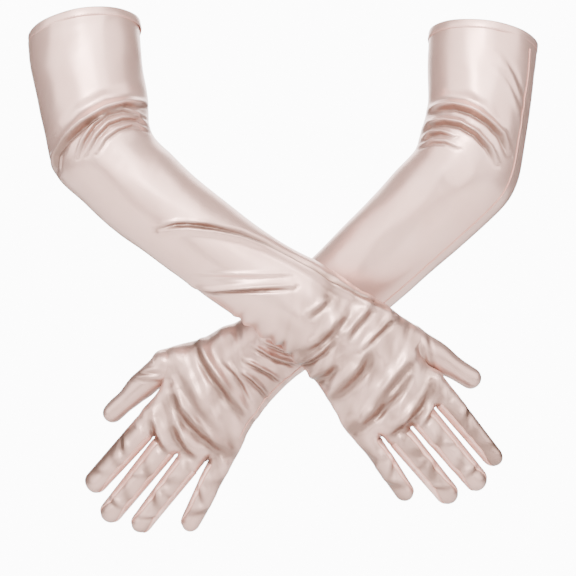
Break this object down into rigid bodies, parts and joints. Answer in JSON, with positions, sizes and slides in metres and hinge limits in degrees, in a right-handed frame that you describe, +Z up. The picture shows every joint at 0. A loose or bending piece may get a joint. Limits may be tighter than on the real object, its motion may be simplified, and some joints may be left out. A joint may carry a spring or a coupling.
{
  "type": "opera gloves",
  "caption": "Pair of over-elbow opera gloves in glossy pink satin, arms crossed as worn, with set-in thumbs, fourchettes between the fingers and narrow hems.",
  "frame": {"origin": "centre of the left glove's arm opening, at the top edge of its hem", "axes": "+Z up, the backs of both hands face -Y, the left arm opening is on the +X side"},
  "size_m": [0.4482, 0.1394, 0.4611],
  "materials": {
    "satin": "champagne pink stretch satin, glossy face outside",
    "thread": "matching polyester sewing thread"
  },
  "bodies": {
    "left_sleeve": {"left_hem": "satin", "left_elbow_web": "satin", "left_upper_sleeve_front": "satin", "left_upper_sleeve_back": "satin", "left_upper_sleeve_seam": "thread"},
    "left_forearm": {"left_forearm_front": "satin", "left_forearm_back": "satin", "left_forearm_seam": "thread", "left_wrist_web": "satin"},
    "left_hand": {"left_hand_back": "satin", "left_hand_palm": "satin", "left_hand_seam": "thread"},
    "left_thumb": {"left_thumb_back": "satin", "left_thumb_palm": "satin"},
    "left_index": {"left_index_back": "satin", "left_index_palm": "satin", "left_index_fourchettes": "satin"},
    "left_middle": {"left_middle_back": "satin", "left_middle_palm": "satin", "left_middle_fourchettes": "satin"},
    "left_ring": {"left_ring_back": "satin", "left_ring_palm": "satin", "left_ring_fourchettes": "satin"},
    "left_little": {"left_little_back": "satin", "left_little_palm": "satin", "left_little_fourchettes": "satin"},
    "right_sleeve": {"right_hem": "satin", "right_elbow_web": "satin", "right_upper_sleeve_front": "satin", "right_upper_sleeve_back": "satin", "right_upper_sleeve_seam": "thread"},
    "right_forearm": {"right_forearm_front": "satin", "right_forearm_back": "satin", "right_forearm_seam": "thread", "right_wrist_web": "satin"},
    "right_hand": {"right_hand_back": "satin", "right_hand_palm": "satin", "right_hand_seam": "thread"},
    "right_thumb": {"right_thumb_back": "satin", "right_thumb_palm": "satin"},
    "right_index": {"right_index_back": "satin", "right_index_palm": "satin", "right_index_fourchettes": "satin"},
    "right_middle": {"right_middle_back": "satin", "right_middle_palm": "satin", "right_middle_fourchettes": "satin"},
    "right_ring": {"right_ring_back": "satin", "right_ring_palm": "satin", "right_ring_fourchettes": "satin"},
    "right_little": {"right_little_back": "satin", "right_little_palm": "satin", "right_little_fourchettes": "satin"}
  },
  "joints": [
    {"name": "right_glove_lift_off", "type": "slide", "parent": "left_sleeve", "child": "right_sleeve", "axis": [0, -1, 0], "range_m": [0, 0.15]},
    {"name": "left_elbow", "type": "hinge", "parent": "left_sleeve", "child": "left_forearm", "pos_m": [-0.01724, -0.028, -0.11673], "axis": [0, 1, 0], "range_deg": [-39, 3], "deforming": ["left_elbow_web"]},
    {"name": "left_wrist", "type": "hinge", "parent": "left_forearm", "child": "left_hand", "pos_m": [-0.19324, 0.008, -0.27245], "axis": [0.6626, 0, -0.749], "range_deg": [-20, 25], "deforming": ["left_wrist_web"]},
    {"name": "left_thumb_spread", "type": "hinge", "parent": "left_hand", "child": "left_thumb", "pos_m": [-0.26997, 0.01027, -0.2925], "axis": [0, 1, 0], "range_deg": [0, 25]},
    {"name": "left_index_knuckle", "type": "hinge", "parent": "left_hand", "child": "left_index", "pos_m": [-0.30017, 0.01233, -0.3439], "axis": [0.7431, 0, -0.6691], "range_deg": [-10, 45]},
    {"name": "left_middle_knuckle", "type": "hinge", "parent": "left_hand", "child": "left_middle", "pos_m": [-0.28058, 0.01229, -0.35897], "axis": [0.7749, 0, -0.632], "range_deg": [-10, 45]},
    {"name": "left_ring_knuckle", "type": "hinge", "parent": "left_hand", "child": "left_ring", "pos_m": [-0.25608, 0.01202, -0.36942], "axis": [0.7902, 0, -0.6129], "range_deg": [-10, 45]},
    {"name": "left_little_knuckle", "type": "hinge", "parent": "left_hand", "child": "left_little", "pos_m": [-0.22976, 0.0114, -0.36835], "axis": [0.8988, 0, -0.4384], "range_deg": [-10, 45]},
    {"name": "right_elbow", "type": "hinge", "parent": "right_sleeve", "child": "right_forearm", "pos_m": [-0.33169, -0.045, -0.10026], "axis": [0, -1, 0], "range_deg": [-39, 3], "deforming": ["right_elbow_web"]},
    {"name": "right_wrist", "type": "hinge", "parent": "right_forearm", "child": "right_hand", "pos_m": [-0.14727, -0.065, -0.24591], "axis": [0.6198, 0, 0.7848], "range_deg": [-20, 4], "deforming": ["right_wrist_web"]},
    {"name": "right_thumb_spread", "type": "hinge", "parent": "right_hand", "child": "right_thumb", "pos_m": [-0.07304, -0.06711, -0.2607], "axis": [0, -1, 0], "range_deg": [0, 25]},
    {"name": "right_index_knuckle", "type": "hinge", "parent": "right_hand", "child": "right_index", "pos_m": [-0.03872, -0.06928, -0.3128], "axis": [0.7672, 0, 0.6414], "range_deg": [-10, 45]},
    {"name": "right_middle_knuckle", "type": "hinge", "parent": "right_hand", "child": "right_middle", "pos_m": [-0.05928, -0.06918, -0.32727], "axis": [0.7615, 0, 0.6481], "range_deg": [-10, 45]},
    {"name": "right_ring_knuckle", "type": "hinge", "parent": "right_hand", "child": "right_ring", "pos_m": [-0.08222, -0.06899, -0.3401], "axis": [0.7672, 0, 0.6414], "range_deg": [-10, 45]},
    {"name": "right_little_knuckle", "type": "hinge", "parent": "right_hand", "child": "right_little", "pos_m": [-0.10677, -0.06855, -0.34504], "axis": [0.8261, 0, 0.5635], "range_deg": [-10, 45]}
  ]
}
